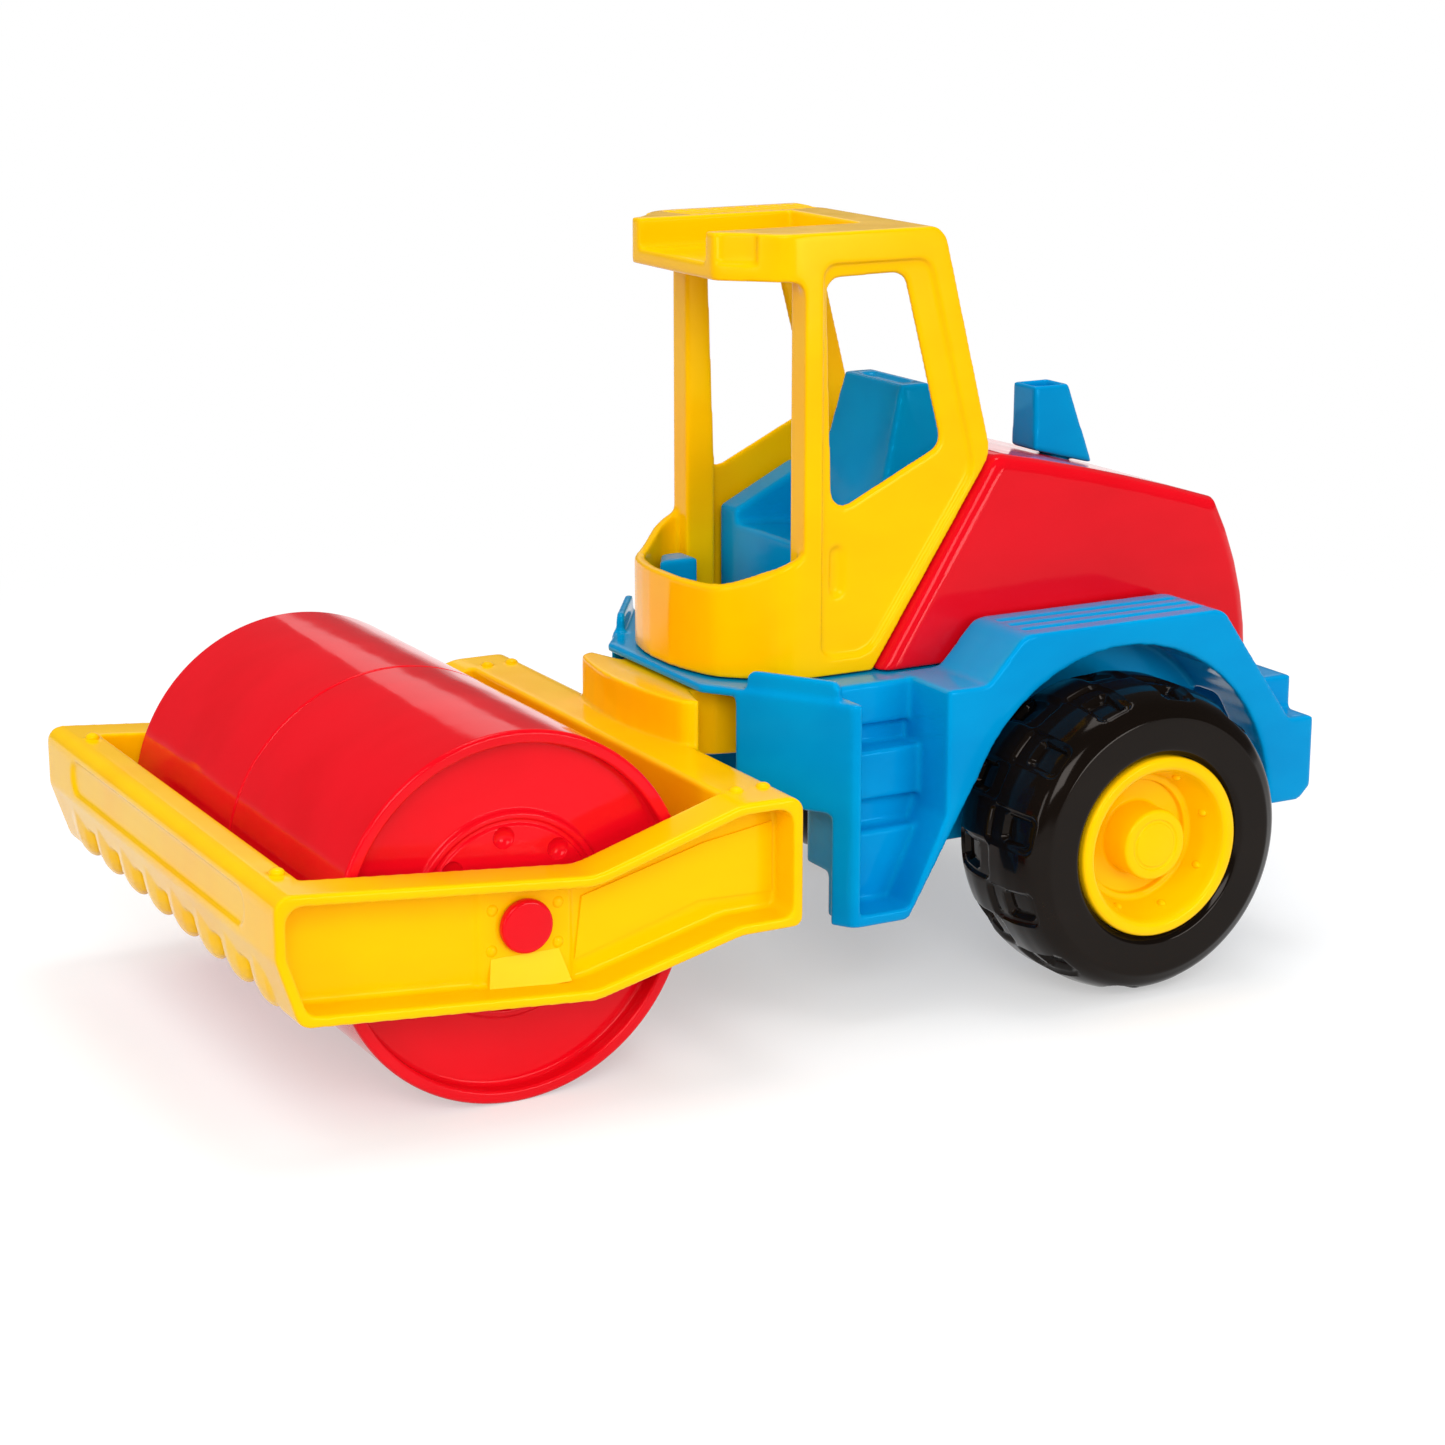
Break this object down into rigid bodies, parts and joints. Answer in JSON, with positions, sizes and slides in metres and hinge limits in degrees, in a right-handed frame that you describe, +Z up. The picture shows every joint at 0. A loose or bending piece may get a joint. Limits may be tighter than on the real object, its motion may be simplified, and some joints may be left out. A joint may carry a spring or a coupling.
{
  "type": "toy road roller",
  "caption": "Push-along toy road roller of glossy moulded plastic: a drum in a frame hinged to a rear unit with an open cab, a seat, a hood and fat treaded wheels.",
  "frame": {"origin": "on the ground under the steering axis, which lies midway between the front and the rear end", "axes": "+Z up along the steering axis, +Y toward the rear bumper, -Y toward the drum, +X toward the driver's left"},
  "size_m": [0.1324, 0.241, 0.1553],
  "materials": {
    "yellow_plastic": "glossy moulded",
    "red_plastic": "glossy moulded",
    "blue_plastic": "glossy moulded",
    "black_plastic": "glossy moulded",
    "zinc_plated_steel": "zinc plated"
  },
  "bodies": {
    "rear_unit": {"chassis": "blue_plastic", "cab": "yellow_plastic", "seat_moulding": "blue_plastic", "hood": "red_plastic", "exhaust_stack": "blue_plastic", "pivot_washer": "zinc_plated_steel", "pivot_screw": "zinc_plated_steel", "seat_screw_left": "zinc_plated_steel", "seat_screw_right": "zinc_plated_steel", "hood_screw_left": "zinc_plated_steel", "hood_screw_right": "zinc_plated_steel"},
    "front_unit": {"front_frame": "yellow_plastic"},
    "drum": {"drum_left_half": "red_plastic", "drum_right_half": "red_plastic", "drum_pin_left": "red_plastic", "drum_pin_right": "red_plastic"},
    "wheel_set": {"left_tyre": "black_plastic", "right_tyre": "black_plastic", "left_wheel_hub": "yellow_plastic", "right_wheel_hub": "yellow_plastic", "rear_axle": "zinc_plated_steel"}
  },
  "joints": [
    {"name": "steering_pivot", "type": "hinge", "parent": "rear_unit", "child": "front_unit", "pos_m": [0, 0, 0.055], "axis": [0, 0, 1], "range_deg": [-12, 12]},
    {"name": "drum_roll", "type": "hinge", "parent": "front_unit", "child": "drum", "pos_m": [0, -0.0695, 0.036], "axis": [1, 0, 0], "continuous": true},
    {"name": "wheel_roll", "type": "hinge", "parent": "rear_unit", "child": "wheel_set", "pos_m": [0, 0.0692, 0.03225], "axis": [1, 0, 0], "continuous": true}
  ]
}
